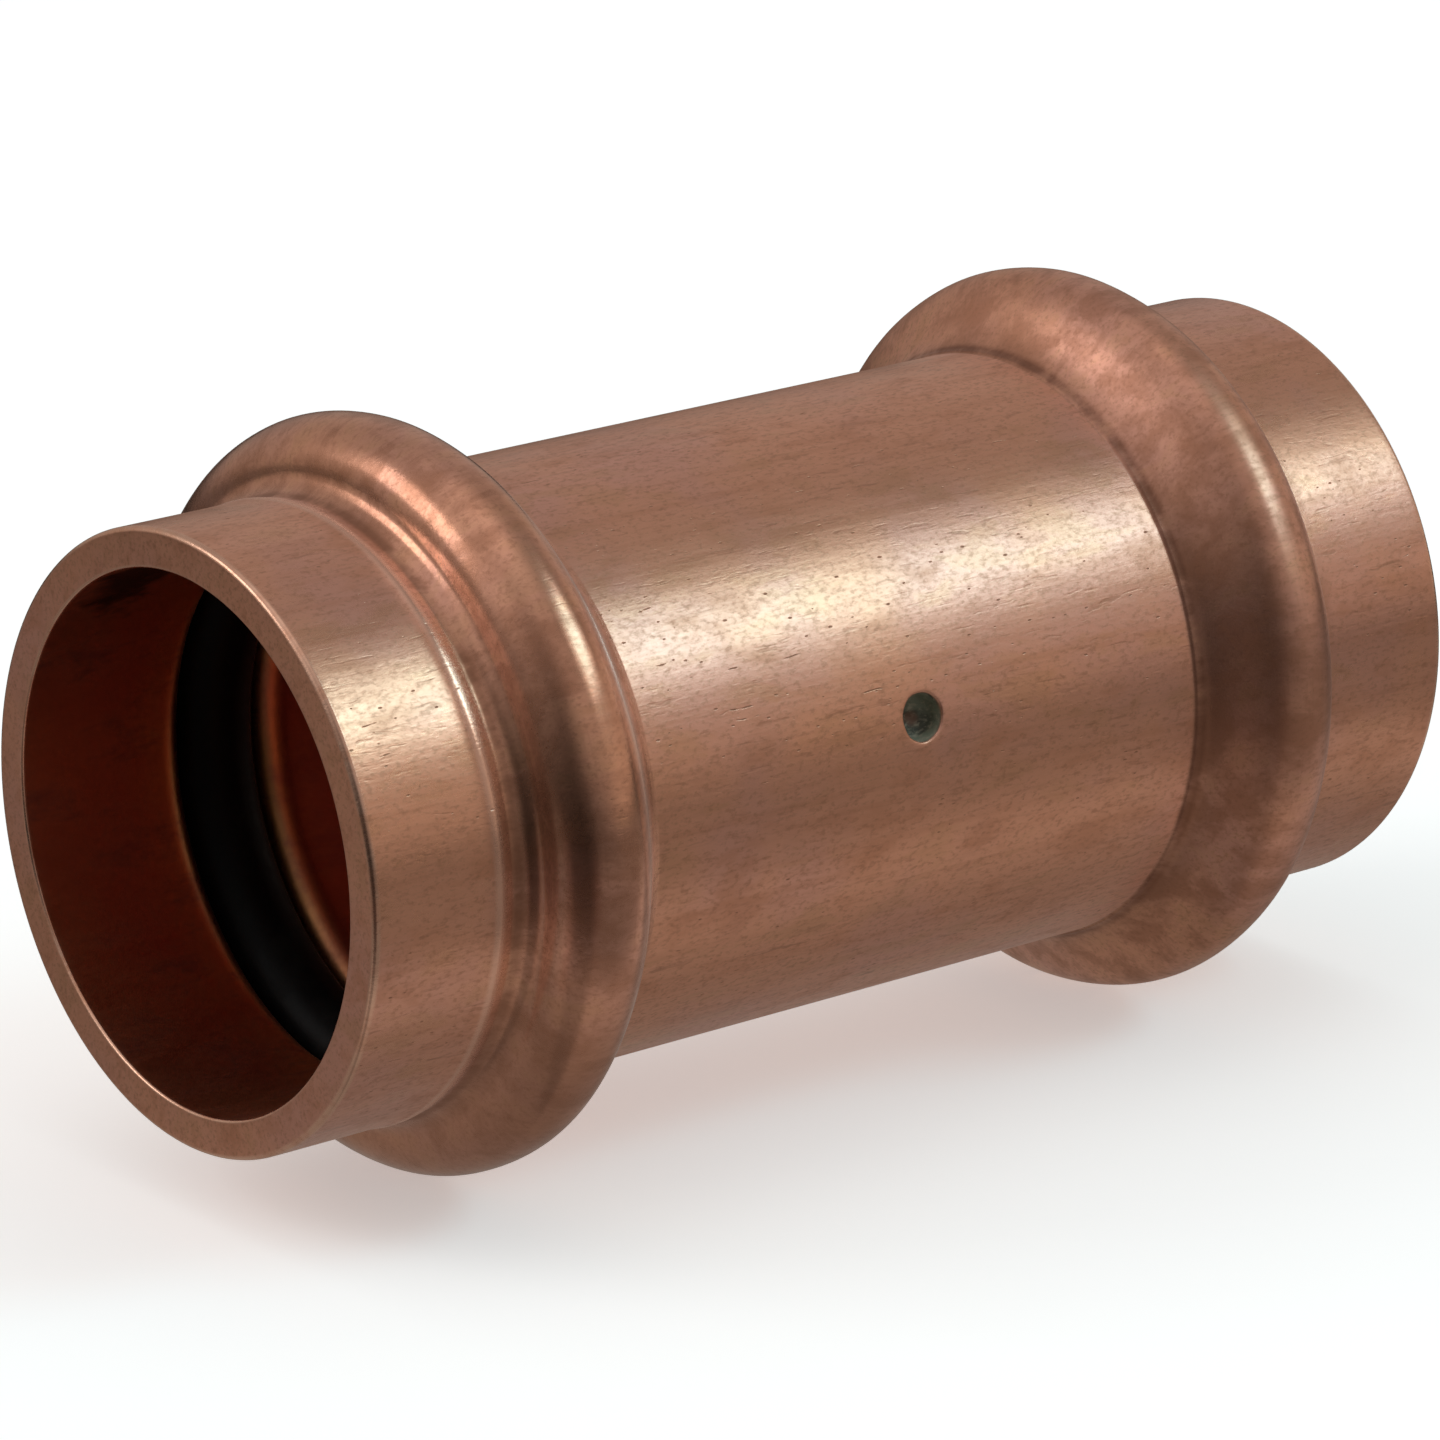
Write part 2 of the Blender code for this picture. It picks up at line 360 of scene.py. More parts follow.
def turned_body():
    section, first_row, outside_count = body_section()
    rows = len(section)
    turns = DIMPLE_TURN + 2 * math.pi * np.arange(SEGMENTS) / SEGMENTS
    x = np.repeat(section[:, :1], SEGMENTS, axis=1)
    turn = np.repeat(turns[None, :], rows, axis=0)
    radius = np.repeat(section[:, 1:], SEGMENTS, axis=1) + wobble(x, turn)

    # Copper pushed into the bore behind each dimple.
    inside = (np.arange(rows) > outside_count)[:, None] & (np.abs(x) < STOP_REACH)
    for centre in (DIMPLE_TURN, DIMPLE_TURN + math.pi):
        away = np.hypot(x - DIMPLE_X, angle_gap(turn, centre) * MIDDLE_BORE_RADIUS)
        height = STOP_HEIGHT * (1 - smoothstep(STOP_FLAT_RADIUS, STOP_RADIUS, away))
        radius = np.where(inside, radius - height, radius)

    # Square openings for the dimples.
    keep = np.ones((rows, SEGMENTS), bool)
    for column in DIMPLE_COLUMNS:
        columns = (column + np.arange(-DIMPLE_CELLS, DIMPLE_CELLS)) % SEGMENTS
        keep[first_row : first_row + 2 * DIMPLE_CELLS, columns] = False

    verts = around(x, radius, turn).reshape(-1, 3).tolist()
    faces = grid_quads(rows, SEGMENTS)[keep].tolist()
    for column in DIMPLE_COLUMNS:
        add_recess(verts, faces, first_row, column)
    return verts, faces


def add_object(name, data):
    obj = bpy.data.objects.new(name, data)
    scene.collection.objects.link(obj)
    return obj


def mesh_object(name, verts, faces, material):
    """Smooth object of the vertices that a face uses."""
    used = sorted({v for face in faces for v in face})
    number = {old: new for new, old in enumerate(used)}
    mesh = bpy.data.meshes.new(name)
    mesh.from_pydata([verts[v] for v in used], [], [[number[v] for v in f] for f in faces])
    bm = bmesh.new()
    bm.from_mesh(mesh)
    bmesh.ops.recalc_face_normals(bm, faces=bm.faces)
    bm.to_mesh(mesh)
    bm.free()
    mesh.shade_smooth()
    mesh.materials.append(material)
    return add_object(name, mesh)


def sealing_ring(name, x, phase, material):
    """Moulded ring: round section with the mould's fine flash line inside and
    outside, resting a little unevenly in its groove."""
    turn, angle = np.meshgrid(
        2 * math.pi * np.arange(RING_SEGMENTS) / RING_SEGMENTS,
        2 * math.pi * np.arange(RING_SECTION_SEGMENTS) / RING_SECTION_SEGMENTS,
        indexing="ij",
    )
    section = RING_SECTION * np.ones_like(turn)
    for flash in (math.pi / 2, -math.pi / 2):
        section += FLASH_HEIGHT * np.exp(-((angle_gap(angle, flash) / FLASH_WIDTH) ** 2))
    centre = RING_CENTRE + RING_OVAL * np.cos(2 * turn + phase)
    along = x + section * np.cos(angle) + RING_WAVE * np.cos(3 * turn + phase)
    verts = around(along, centre + section * np.sin(angle), turn).reshape(-1, 3)
    # This grid's quads run the other way round from the body's.
    quads = grid_quads(RING_SEGMENTS, RING_SECTION_SEGMENTS)[..., [0, 3, 2, 1]]
    return mesh_object(name, verts.tolist(), quads.reshape(-1, 4).tolist(), material)


# ---------------------------------------------------------------------------
# Node trees
# ---------------------------------------------------------------------------
class Tree:
    """Short calls for building the node tree of a material or world."""

    def __init__(self, owner, output="OutputMaterial"):
        owner.use_nodes = True
        self.nodes = owner.node_tree.nodes
        self.links = owner.node_tree.links
        self.nodes.clear()
        self.out = self.node(output)

    def feed(self, socket, value):
        if hasattr(value, "is_output"):
            self.links.new(value, socket)
        elif isinstance(value, tuple) and len(value) == 3 and socket.type == "RGBA":
            socket.default_value = (*value, 1.0)
        else:
            socket.default_value = value

    def node(self, kind, inputs=None, **settings):
        """New node; inputs maps a socket's name or number to a value or link."""
        node = self.nodes.new("ShaderNode" + kind)
        for name, value in settings.items():
            setattr(node, name, value)
        for key, value in (inputs or {}).items():
            self.feed(node.inputs[key], value)
        return node

    def surface(self, shader):
        self.links.new(shader.outputs[0], self.out.inputs["Surface"])

    def math(self, op, *values):
        return self.node("Math", dict(enumerate(values)), operation=op).outputs[0]

    def mul(self, *values):
        return reduce(lambda a, b: self.math("MULTIPLY", a, b), values)

    def add(self, *values):
        return reduce(lambda a, b: self.math("ADD", a, b), values)

    def sub(self, *values):
        return reduce(lambda a, b: self.math("SUBTRACT", a, b), values)

    def most(self, *values):
        return reduce(lambda a, b: self.math("MAXIMUM", a, b), values)

    def invert(self, value):
        return self.sub(1.0, value)

    def linear(self, value, gain, offset):
        return self.math("MULTIPLY_ADD", value, gain, offset)

    def gap(self, value, centre):
        return self.math("ABSOLUTE", self.sub(value, centre))

    def vec(self, op, *vectors, **named):
        node = self.node("VectorMath", {**dict(enumerate(vectors)), **named}, operation=op)
        return node.outputs["Value" if op in ("LENGTH", "DOT_PRODUCT") else "Vector"]

    def along_x(self, point, share):
        """Point with x shrunk, so that a texture on it is drawn out along the tube."""
        return self.vec("MULTIPLY", point, (share, 1.0, 1.0))

    def distance(self, point, centre, weights):
        offset = self.vec("SUBTRACT", point, centre)
        return self.vec("LENGTH", self.vec("MULTIPLY", offset, weights))

    def split(self, value, kind="XYZ"):
        return self.node("Separate" + kind, {0: value}).outputs

    def noise(self, point, scale, detail, rough, distortion=0.0, output="Fac"):
        inputs = {"Vector": point, "Scale": scale, "Detail": detail}
        inputs |= {"Roughness": rough, "Distortion": distortion}
        return self.node("TexNoise", inputs).outputs[output]

    def cells(self, point, scale):
        """Distance to the cell's centre, and two random values of the cell."""
        node = self.node("TexVoronoi", {"Vector": point, "Scale": scale}, feature="F1")
        first, second, _ = self.split(node.outputs["Color"], "Color")
        return node.outputs["Distance"], first, second

    def ramp(self, value, over, to=(0.0, 1.0)):
        """Smooth ramp of a value: from to[0] at over[0], to to[1] at over[1]."""
        inputs = {"Value": value, "From Min": over[0], "From Max": over[1]}
        inputs |= {"To Min": to[0], "To Max": to[1]}
        node = self.node("MapRange", inputs, interpolation_type="SMOOTHSTEP")
        return node.outputs["Result"]

    def fall(self, value, over):
        return self.ramp(value, over, to=(1.0, 0.0))

    def mix(self, share, first, second, kind="RGBA"):
        node = self.node("Mix", {"Factor": share}, data_type=kind)
        for name, value in (("A", first), ("B", second)):
            self.feed(next(s for s in node.inputs if s.name == name and s.type == kind), value)
        return next(s for s in node.outputs if s.type == kind)

    def coat(self, tone, mask, strength, colour):
        return self.mix(self.mul(mask, strength), tone, colour)

    def bump(self, height, distance, **named):
        inputs = {"Strength": 1.0, "Distance": distance, "Height": height, **named}
        return self.node("Bump", inputs).outputs["Normal"]


# ---------------------------------------------------------------------------
# Copper
# ---------------------------------------------------------------------------
def copper_zones(t, point):
    """Coordinates on the body, and masks of its parts."""
    x, _, z = t.split(point)
    ax = t.math("ABSOLUTE", x)
    radial = t.vec("MULTIPLY", point, (0.0, 1.0, 1.0))
    radius = t.vec("LENGTH", radial)
    unit = t.vec("NORMALIZE", radial)
    beside = t.gap(ax, BEAD_X)

    inside = t.mul(
        t.fall(radius, over=mm(8.20, 8.40)),
        t.fall(ax, over=mm(-0.10, -0.02, base=HALF_LENGTH)),
    )
    groove = t.mul(
        t.fall(radius, over=mm(10.2, 10.3)), t.fall(beside, over=mm(1.36, 1.42))
    )
    shoulders = t.mul(
        t.fall(radius, over=mm(8.95, 9.05)), t.fall(beside, over=mm(2.30, 2.45))
    )
    outside = t.mul(t.ramp(radius, over=mm(8.45, 8.75)), t.invert(shoulders))
    bead = t.mul(
        t.ramp(ax, over=mm(-0.05, 0.25, base=CREASE_X)),
        t.fall(ax, over=mm(-0.05, 0.5, base=FOOT_X)),
        outside,
    )
    return SimpleNamespace(
        point=point, x=x, z=z, ax=ax, radius=radius, unit=unit, beside=beside,
        bore=t.most(inside, groove, shoulders), outside=outside,
        bead=bead, not_bead=t.invert(bead),
        rim=t.ramp(ax, over=mm(-0.03, -0.01, base=HALF_LENGTH)),
    )


def copper_textures(t, zone):
    """Noises from finest lines to broad unevenness of tone."""
    point = zone.point
    # Drawing lines along the tube; faint turning marks round the beads.
    hoop = t.vec(
        "ADD",
        t.vec("MULTIPLY", point, (0.8, 0.0, 0.0)),
        t.vec("SCALE", zone.unit, Scale=0.0006),
    )
    path = t.mix(zone.bead, t.along_x(point, 0.045), hoop, kind="VECTOR")
    wide = t.along_x(point, 0.45)
    return SimpleNamespace(
        fine=t.noise(path, scale=8500, detail=2.0, rough=0.6),
        coarse=t.noise(t.along_x(point, 0.03), scale=2400, detail=1.0, rough=0.5),
        broad=t.noise(point, scale=170, detail=3.0, rough=0.55),
        patch=t.noise(wide, scale=750, detail=4.0, rough=0.62, distortion=0.3),
        grain=t.noise(t.along_x(point, 0.55), scale=7500, detail=2.0, rough=0.65),
    )


def copper_marks(t, zone):
    """Crowding of the marks, the flaws (pits and dashes) and the scuffs."""
    point = zone.point
    # A strip on the -Y side, a little above the axis, collects the marks.
    strip = t.distance(point, centre=mm(-3.5, -8.35, 3.7), weights=(0.22, 1.0, 1.0))
    strip = t.fall(strip, over=mm(0.5, 2.6))
    crowd = t.noise(t.along_x(point, 0.3), scale=520, detail=2.0, rough=0.55)
    crowd = t.most(t.ramp(crowd, over=(0.44, 0.68)), strip)

    # Pits: small sparse cells, longer along the tube.
    away, chance, spread = t.cells(t.along_x(point, 0.40), scale=5600)
    limit = t.linear(crowd, gain=-0.42, offset=0.90)
    size = t.linear(spread, gain=0.16, offset=0.08)
    pits = t.mul(
        t.math("GREATER_THAN", chance, limit),
        t.fall(t.math("DIVIDE", away, size), over=(0.45, 1.0)),
    )

    # Short dashes, slightly bent, lying along the tube.
    bend = t.noise(point, scale=1500, detail=1.0, rough=0.5, output="Color")
    bend = t.vec("SCALE", bend, Scale=0.00016)
    away, chance, _ = t.cells(t.vec("ADD", t.along_x(point, 0.075), bend), scale=5200)
    limit = t.sub(t.linear(crowd, gain=-0.11, offset=0.97), t.mul(strip, 0.20))
    dashes = t.mul(t.math("GREATER_THAN", chance, limit), t.fall(away, over=(0.05, 0.15)))

    # Faint short scuffs everywhere along the tube.
    bent = t.vec("ADD", t.along_x(point, 0.13), bend)
    scuff = t.ramp(t.noise(bent, scale=4600, detail=2.0, rough=0.7), over=(0.58, 0.74))
    return SimpleNamespace(
        crowd=crowd,
        flaws=t.mul(
            t.most(pits, dashes),
            t.linear(zone.not_bead, gain=0.85, offset=0.15),
            zone.outside,
        ),
        scuff=t.mul(scuff, zone.outside, t.linear(zone.not_bead, gain=0.6, offset=0.4)),
    )


def bare_tone(t, zone, tex, marks):
    """Colour of the drawn copper with its thin oxide and marks."""
    clean = (0.950, 0.455, 0.295)
    brown = (0.640, 0.270, 0.150)
    pink = (0.900, 0.445, 0.330)
    olive = (0.760, 0.390, 0.215)
    tone = t.mix(t.ramp(tex.broad, over=(0.38, 0.64)), clean, pink)
    # Mask, strength, colour.
    for coat in (
        (t.ramp(tex.patch, over=(0.50, 0.70)), 0.42, brown),
        (t.ramp(tex.patch, over=(0.48, 0.34)), 0.38, olive),
        (t.ramp(tex.coarse, over=(0.48, 0.74)), 0.22, brown),
        (t.ramp(tex.fine, over=(0.5, 0.8)), 0.25, (0.58, 0.27, 0.17)),
        (t.ramp(tex.grain, over=(0.46, 0.74)), 0.50, (0.50, 0.23, 0.14)),
        (t.mul(zone.bead, t.ramp(tex.patch, over=(0.40, 0.60))), 0.50, (0.50, 0.22, 0.135)),
        (marks.scuff, t.linear(marks.crowd, gain=0.32, offset=0.24), (0.47, 0.22, 0.14)),
        (marks.flaws, 0.60, (0.33, 0.15, 0.085)),
    ):
        tone = t.coat(tone, *coat)
    return tone


def bore_film(t, zone, tex):
    """Oxide in the bore: red, purple to black in places, with a painted glow of orange light
    close to the ring.
    """
    red, orange = (0.78, 0.260, 0.165), (1.0, 0.520, 0.170)
    purple, groove_red = (0.34, 0.120, 0.115), (0.60, 0.190, 0.150)
    black = (0.05, 0.035, 0.030)
    # Painted glow: brighter orange within about 2 mm of the ring, standing in for light bounced
    # in the groove.
    glow = t.ramp(zone.beside, over=mm(2.0, 4.2), to=(1.0, 0.25))
    film = t.coat(red, glow, t.ramp(tex.broad, over=(0.34, 0.66), to=(1.0, 0.35)), orange)
    film = t.coat(film, t.ramp(tex.patch, over=(0.50, 0.72)), 0.60, purple)
    middle = t.ramp(zone.ax, over=mm(-2.1, -1.2, base=BEAD_X), to=(0.72, 0.0))
    film = t.mix(middle, film, groove_red)
    # One ragged black spot near the -X mouth.
    soot = t.distance(zone.point, centre=mm(-18.7, 4.3, 6.8), weights=(1.0, 0.50, 0.8))
    soot = t.add(soot, t.mul(t.sub(tex.patch, 0.5), 4.5 * MM))
    return t.mix(t.ramp(soot, over=mm(0.8, 1.8), to=(0.92, 0.0)), film, black)


def copper_edges(t, zone, tex):
    """Masks of the worn rim, the dark seams and the collar's roll."""
    edge = t.mul(
        t.ramp(zone.ax, over=mm(-0.26, -0.12, base=HALF_LENGTH)),
        t.ramp(zone.radius, over=mm(-0.20, -0.10, base=COLLAR_RADIUS)),
    )
    lip = t.mul(
        t.ramp(zone.ax, over=mm(-0.16, -0.06, base=HALF_LENGTH)),
        t.ramp(zone.radius, over=mm(0.11, 0.05, base=BORE_RADIUS)),
    )
    foot = t.fall(t.gap(zone.ax, FOOT_X - 0.14 * MM), over=mm(0.04, 0.30))
    foot = t.mul(foot, zone.outside)
    crease = t.fall(t.gap(zone.x, CREASE_X + 0.13 * MM), over=mm(0.08, 0.30))
    crease = t.mul(crease, zone.outside)
    return SimpleNamespace(
        worn=t.mul(t.most(edge, lip), t.ramp(tex.patch, over=(0.38, 0.55), to=(0.35, 1.0))),
        crease=crease,
        seam=t.mul(t.most(foot, crease), t.ramp(tex.patch, over=(0.30, 0.62), to=(0.30, 0.75))),
        roll=t.mul(
            t.fall(t.gap(zone.ax, FOOT_X + 0.50 * MM), over=mm(0.08, 0.26)),
            t.mul(zone.outside, t.ramp(zone.x, over=mm(0.0, -1.0))),
        ),
    )


def edge_tone(t, tone, zone, tex, edges):
    """Worn edges, seams, a painted dark reflection beside the +X bead and painted shade under
    the -X bead.
    """
    tone = t.mix(edges.worn, tone, (0.97, 0.56, 0.40))
    # Dark oxide in the foot of each bead and in the +X crease.
    dark = t.mix(edges.crease, (0.34, 0.150, 0.090), (0.20, 0.085, 0.055))
    tone = t.mix(edges.seam, tone, dark)
    # Painted dark reflection beyond the +X crease, strongest low down, where the bead mirrors
    # the shaded floor.
    painted_dark_reflection = t.mul(
        t.fall(zone.x, over=mm(0.2, 1.1, base=CREASE_X)),
        t.ramp(zone.x, over=mm(-0.1, 0.2, base=CREASE_X)),
        zone.outside,
        t.ramp(zone.z, over=mm(-5.0, 3.5), to=(1.0, 0.25)),
        t.ramp(tex.patch, over=(0.28, 0.60), to=(0.20, 0.65)),
    )
    tone = t.mix(painted_dark_reflection, tone, (0.46, 0.205, 0.12))
    # Painted shade: the -X bead is darker towards its underside.
    low = t.mul(
        t.ramp(zone.x, over=mm(-0.3, -0.1, base=-FOOT_X)),
        t.fall(zone.x, over=mm(-0.4, 0.8, base=-BEAD_X)),
        zone.outside,
        t.ramp(zone.z, over=mm(-6.0, 0.0), to=(0.52, 0.0)),
    )
    tone = t.mix(low, tone, (0.52, 0.245, 0.155))
    return t.coat(tone, edges.roll, 0.75, (1.0, 0.56, 0.41))


def dimple_mask(t, point):
    masks = []
    for turn in (DIMPLE_TURN, DIMPLE_TURN + math.pi):
        axis = (0.0, -math.cos(turn), math.sin(turn))
        offset = t.vec("SUBTRACT", point, (DIMPLE_X, 0.0, 0.0))
        height = t.vec("DOT_PRODUCT", offset, axis)
        beside = t.vec("SUBTRACT", offset, t.vec("SCALE", axis, Scale=height))
        masks.append(
            t.mul(
                t.fall(t.vec("LENGTH", beside), over=mm(0.71, 0.77)),
                t.ramp(height, over=mm(8.06, 8.08)),
                t.fall(height, over=mm(-0.12, -0.03, base=TUBE_RADIUS)),
            )
        )
    return t.most(*masks)


def dimple_dirt(t, point, tex):
    """Dull, greenish dirt with a brown spot in the -Y dimple."""
    dark, green = (0.115, 0.110, 0.085), (0.33, 0.34, 0.25)
    dust, brown = (0.50, 0.44, 0.33), (0.30, 0.15, 0.10)
    dirt = t.mix(t.ramp(tex.patch, over=(0.42, 0.62)), dark, green)
    dirt = t.mix(t.ramp(tex.grain, over=(0.45, 0.75)), dirt, dust)
    floor_radius = 8.4 * MM
    spot = (
        DIMPLE_X + 0.10 * MM,
        -floor_radius * math.cos(DIMPLE_TURN),
        floor_radius * math.sin(DIMPLE_TURN) - 0.08 * MM,
    )
    away = t.vec("LENGTH", t.vec("SUBTRACT", point, spot))
    return t.mix(t.ramp(away, over=mm(0.10, 0.34), to=(0.8, 0.0)), dirt, brown)


def copper_roughness(t, zone, tex, marks, edges, dimple):
    rough = t.add(
        t.linear(t.ramp(tex.grain, over=(0.25, 0.8)), gain=0.07, offset=0.275),
        t.mul(t.ramp(tex.patch, over=(0.35, 0.75)), 0.08),
        # The -X bead is smoother than the +X one.
        t.mul(zone.bead, t.ramp(zone.x, over=mm(-2.0, 2.0), to=(-0.090, 0.030))),
        t.ramp(zone.ax, over=mm(0.2, 0.6, base=FOOT_X), to=(0.0, -0.022)),
        # Mask times the roughness it adds.
        t.mul(edges.roll, -0.07),
        t.mul(zone.rim, 0.06),
        t.mul(edges.worn, -0.08),
        t.mul(zone.bore, 0.10),
        t.mul(t.most(marks.flaws, edges.seam), 0.2),
    )
    return t.most(rough, t.mul(dimple, 0.7))


def copper_relief(t, zone, tex, marks):
    """Height of the surface; the factors are in metres."""
    not_bead = zone.not_bead
    raised = t.add(
        t.mul(tex.fine, t.linear(not_bead, gain=1.5e-6, offset=1.0e-6)),
        t.mul(tex.coarse, not_bead, 3.0e-6),
        t.mul(tex.grain, t.linear(not_bead, gain=2.4e-6, offset=1.2e-6)),
        t.mul(tex.patch, 1.1e-5),
    )
    return t.sub(raised, t.mul(marks.scuff, 2.2e-6), t.mul(marks.flaws, 6.0e-6))


def copper_material():
    material = bpy.data.materials.new("drawn_copper")
    t = Tree(material)
    point = t.node("TexCoord").outputs["Object"]
    zone = copper_zones(t, point)
    tex = copper_textures(t, zone)
    marks = copper_marks(t, zone)
    edges = copper_edges(t, zone, tex)
    dimple = dimple_mask(t, point)

    tone = bare_tone(t, zone, tex, marks)
    tone = t.coat(tone, zone.bore, 0.92, bore_film(t, zone, tex))
    tone = edge_tone(t, tone, zone, tex, edges)
    # Copper seen in copper is paler, which keeps a second bounce from turning orange.
    again = t.mul(t.node("LightPath").outputs["Is Glossy Ray"], t.invert(zone.bore))
    tone = t.coat(tone, again, 0.84, (1.0, 0.86, 0.79))
    tone = t.mix(dimple, tone, dimple_dirt(t, point, tex))

    t.surface(t.node("BsdfPrincipled", {
        "Base Color": tone,
        "Metallic": t.invert(t.mul(dimple, 0.9)),
        "Roughness": copper_roughness(t, zone, tex, marks, edges, dimple),
        "Normal": t.bump(copper_relief(t, zone, tex, marks), distance=1.0),
        "Anisotropic": 0.35,
        "Tangent": t.node("Tangent", direction_type="RADIAL", axis="X").outputs[0],
    }))
    return material


# ---------------------------------------------------------------------------
# Rubber and floor
# ---------------------------------------------------------------------------
def rubber_material():
    material = bpy.data.materials.new("epdm_rubber")
    t = Tree(material)
    point = t.node("TexCoord").outputs["Object"]
    bloom = t.noise(point, scale=900, detail=4.0, rough=0.6)
    grain = t.noise(point, scale=9000, detail=3.0, rough=0.6)
    black, grey = (0.0045, 0.0045, 0.005), (0.010, 0.010, 0.0095)
    t.surface(t.node("BsdfPrincipled", {
        "Base Color": t.mix(t.ramp(bloom, over=(0.45, 0.75)), black, grey),
        "Roughness": t.add(
            t.linear(grain, gain=0.14, offset=0.38),
            t.mul(t.ramp(bloom, over=(0.4, 0.7)), 0.12),
        ),
        "Normal": t.bump(bloom, distance=8e-6, Normal=t.bump(grain, distance=2.5e-6)),
        "Specular IOR Level": 0.13,
    }))
    return material


def board_level(t, point, ray_z, flat_y, toward):
    """Brightness of the board as the copper mirrors it."""
    x, y, _ = t.split(point)
    beyond = t.most(t.sub(t.math("ABSOLUTE", x), HALF_LENGTH), 0.0)
    away = t.math("SQRT", t.add(t.math("POWER", beyond, 2.0), t.math("POWER", y, 2.0)))
    # Lightest close by, fading over this length.
    fade_length = 0.014
    near = t.math("EXPONENT", t.mul(away, -1 / fade_length))
    level = t.mul(t.linear(near, gain=0.16, offset=0.115), t.fall(away, over=(0.045, 0.13)))
    # A lighter band beside the body, on the -Y side.
    band = t.ramp(t.gap(away, centre=0.017), over=(0.0, 0.009), to=(0.20, 0.0))
    level = t.add(level, t.mul(band, t.fall(y, over=(-0.010, 0.0))))
    # A lighter corner at -X, +Y.
    corner = t.ramp(x, over=(-0.025, -0.060), to=(0.0, 0.09))
    level = t.add(level, t.mul(corner, t.ramp(y, over=(0.0, 0.020))))
    # Shallow rays towards -Y, away from the camera's bearing, meet a lit board.
    lit = t.mul(
        t.fall(toward, over=(0.75, 0.90)),
        t.fall(flat_y, over=(-0.35, 0.05)),
        t.ramp(ray_z, over=(-0.50, -0.32)),
    )
    level = t.add(level, t.mul(lit, t.ramp(away, over=(0.20, 0.60), to=(0.085, 0.03))))
    # Towards the camera the board lies in shade.
    shade = t.ramp(ray_z, over=(-0.62, -0.38), to=(0.62, 0.30))
    return t.mul(level, t.ramp(toward, over=(0.87, 0.97), to=(1.0, shade)))


def floor_material():
    """Pale matt board. Seen straight it is nearly white; in the copper it
    mirrors as a dimmer, even surface that is lightest close by."""
    material = bpy.data.materials.new("pale_board")
    t = Tree(material)
    point = t.node("TexCoord").outputs["Object"]
    seen = t.node("LightPath").outputs["Is Camera Ray"]
    speck = t.noise(point, scale=60, detail=3.0, rough=0.5)
    board = t.mix(speck, (1.42, 1.42, 1.42), (1.46, 1.46, 1.46))
    unseen = (0.03, 0.03, 0.03)
    diffuse = t.node("BsdfDiffuse", {"Color": t.mix(seen, unseen, board)})

    # Where the ray that meets the board is heading.
    ray = t.vec("SCALE", t.node("NewGeometry").outputs["Incoming"], Scale=-1.0)
    flat = t.vec("NORMALIZE", t.vec("MULTIPLY", ray, (1.0, 1.0, 0.0)))
    camera_bearing = (-0.80, -0.60, 0.0)
    toward = t.vec("DOT_PRODUCT", flat, camera_bearing)
    flat_y = t.split(flat)[1]
    ray_z = t.split(ray)[2]
    level = board_level(t, point, ray_z, flat_y, toward)

    # Shallow rays towards the camera's side mirror a warmer glow: painted copper light bounced
    # onto the board.
    low = t.mul(t.ramp(toward, over=(0.78, 0.94)), t.ramp(ray_z, over=(-0.62, -0.34)))
    tint = t.mix(low, (1.0, 0.96, 0.88), (1.0, 0.70, 0.58))
    seen_glow = 0.36
    glow = t.node("Emission", {
        "Color": t.mix(seen, tint, (1.0, 1.0, 1.0)),
        "Strength": t.add(t.mul(level, t.invert(seen)), t.mul(seen, seen_glow)),
    })
    t.surface(t.node("AddShader", {0: diffuse.outputs[0], 1: glow.outputs[0]}))
    return material


# ---------------------------------------------------------------------------
# Pieces
# ---------------------------------------------------------------------------
def place(obj, node):
    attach(obj, "root")
    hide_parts(node)


copper = copper_material()
rubber = rubber_material()
place(mesh_object("copper_body", *turned_body(), copper), "fitting_body")
for side_name, ring_x, ring_phase in (("left", -BEAD_X, 0.4), ("right", BEAD_X, 2.3)):
    ring = sealing_ring("sealing_ring_" + side_name, ring_x, ring_phase, rubber)
    place(ring, "o_ring_" + side_name)

# ---------------------------------------------------------------------------
# Studio
# ---------------------------------------------------------------------------
FLOOR_GAP = 0.02 * MM
FLOOR_HALF_SIZE = 1.6

# A soft key from the camera's right with a brighter core, and a box on its left.
# Name, azimuth, elevation, distance, width, height, power, colour.
SOFTBOXES = (
    ("key_box", 48, 40, 0.60, 0.34, 0.24, 0.21, (0.92, 1.0, 1.0)),
    ("key_core", 48, 41, 0.59, 0.19, 0.15, 0.27, (0.34, 0.90, 1.09)),
    ("rear_box", -124, 33, 0.60, 0.26, 0.24, 0.30, (0.97, 1.0, 1.0)),
)

# A dim room, darkest around the camera. For each tint: colour, base level, and
# lobes of azimuth, elevation, level.
ROOM = (
    ((0.99, 0.98, 0.96), 0.002, (
        (0, 89, 0.58), (0, 34, 0.32), (135, 32, 0.21), (-95, 42, 0.46),
        (-135, 32, 0.20), (180, 34, 0.15), (105, 50, 0.06),
    )),
    ((1.05, 0.97, 0.84), 0.003, (
        (45, 5, 0.37), (90, 5, 0.35), (180, 5, 0.17), (-135, 5, 0.16), (135, 5, 0.15),
    )),
)
LOBE_SHARPNESS = 8.0

CAMERA_LENS = 194.354
CAMERA_PLACE = (-0.140891, -0.173020, 0.070858)
CAMERA_RIGHT = (0.776860598, -0.629672623, 0.0)
CAMERA_UP = (0.19145677, 0.2362104, 0.95265364)
CAMERA_BACK = (-0.59985992, -0.74007907, 0.30405764)


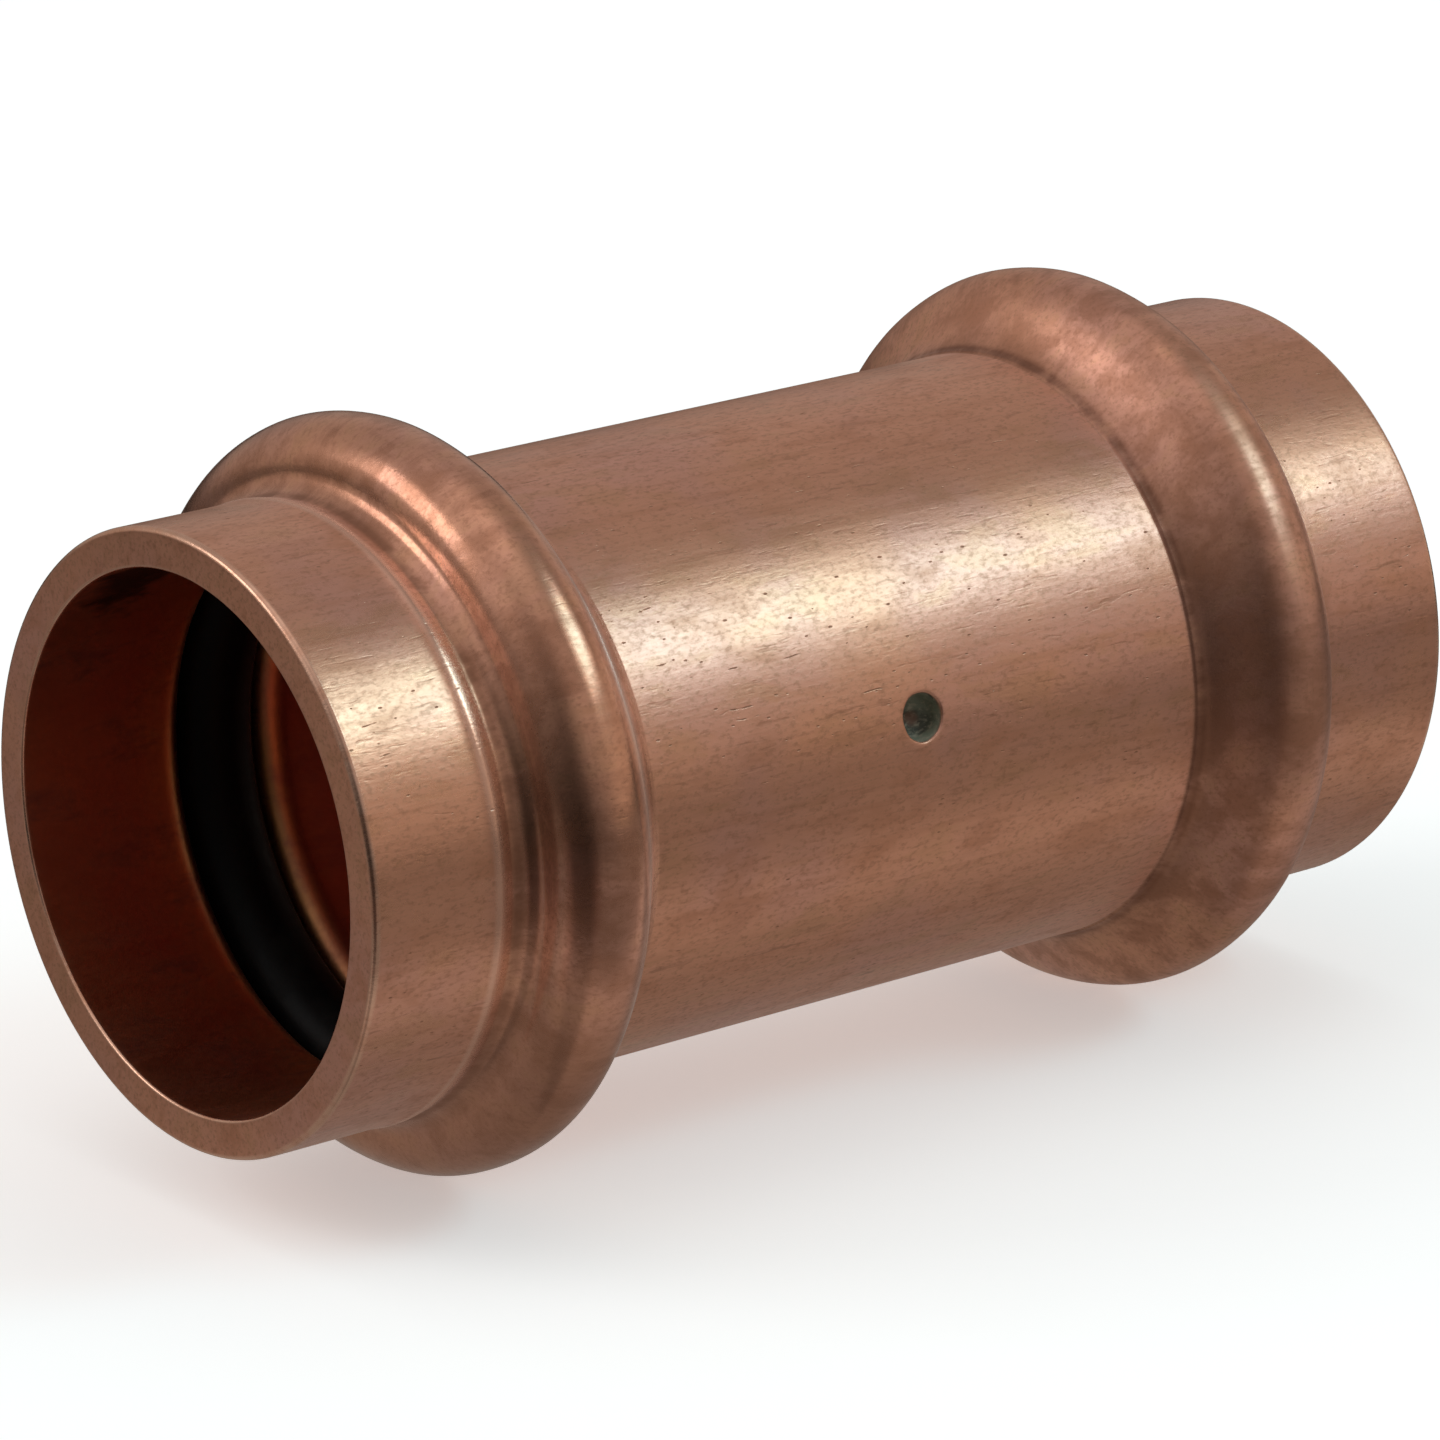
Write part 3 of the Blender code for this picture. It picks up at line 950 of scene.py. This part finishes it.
def sky_direction(azimuth, elevation):
    """Unit vector towards azimuth (0 at -Y, 90 at +X) and elevation, in degrees."""
    a, e = math.radians(azimuth), math.radians(elevation)
    return Vector((math.sin(a) * math.cos(e), -math.cos(a) * math.cos(e), math.sin(e)))


def add_floor():
    bm = bmesh.new()
    bmesh.ops.create_grid(bm, x_segments=8, y_segments=8, size=FLOOR_HALF_SIZE)
    mesh = bpy.data.meshes.new("floor")
    bm.to_mesh(mesh)
    bm.free()
    mesh.materials.append(floor_material())
    floor = add_object("floor", mesh)
    floor.location = (0, 0, cad_lo.z - FLOOR_GAP)


def add_softbox(name, azimuth, elevation, distance, width, height, power, colour):
    """Rectangular light facing the origin."""
    light = bpy.data.lights.new(name, "AREA")
    light.shape = "RECTANGLE"
    light.size = width
    light.size_y = height
    light.energy = power
    light.color = colour
    obj = add_object(name, light)
    towards = sky_direction(azimuth, elevation)
    obj.location = towards * distance
    obj.rotation_mode = "QUATERNION"
    obj.rotation_quaternion = towards.to_track_quat("Z", "Y")


def add_world():
    world = bpy.data.worlds.new("studio")
    scene.world = world
    t = Tree(world, output="OutputWorld")
    view = t.node("TexCoord").outputs["Generated"]
    tints = []
    for colour, strength, lobes in ROOM:
        for azimuth, elevation, level in lobes:
            facing = t.vec("DOT_PRODUCT", view, sky_direction(azimuth, elevation))
            spread = t.mul(t.sub(facing, 1.0), LOBE_SHARPNESS)
            lobe = t.mul(t.math("POWER", math.e, spread), level)
            strength = t.add(lobe, strength)
        tint = t.node("Background", {"Color": colour, "Strength": strength})
        tints.append(tint.outputs[0])
    t.surface(t.node("AddShader", dict(enumerate(tints))))


def add_camera():
    data = bpy.data.cameras.new("camera")
    data.sensor_width = 36.0
    data.lens = CAMERA_LENS
    data.clip_start = 0.01
    data.clip_end = 20.0
    camera = add_object("camera", data)
    axes = Matrix((CAMERA_RIGHT, CAMERA_UP, CAMERA_BACK)).transposed().to_4x4()
    camera.matrix_world = Matrix.Translation(CAMERA_PLACE) @ axes
    scene.camera = camera


scene.view_settings.view_transform = "Standard"
scene.view_settings.look = "None"
scene.view_settings.exposure = 0.0
scene.view_settings.gamma = 1.0

add_floor()
for softbox in SOFTBOXES:
    add_softbox(*softbox)
add_world()
add_camera()
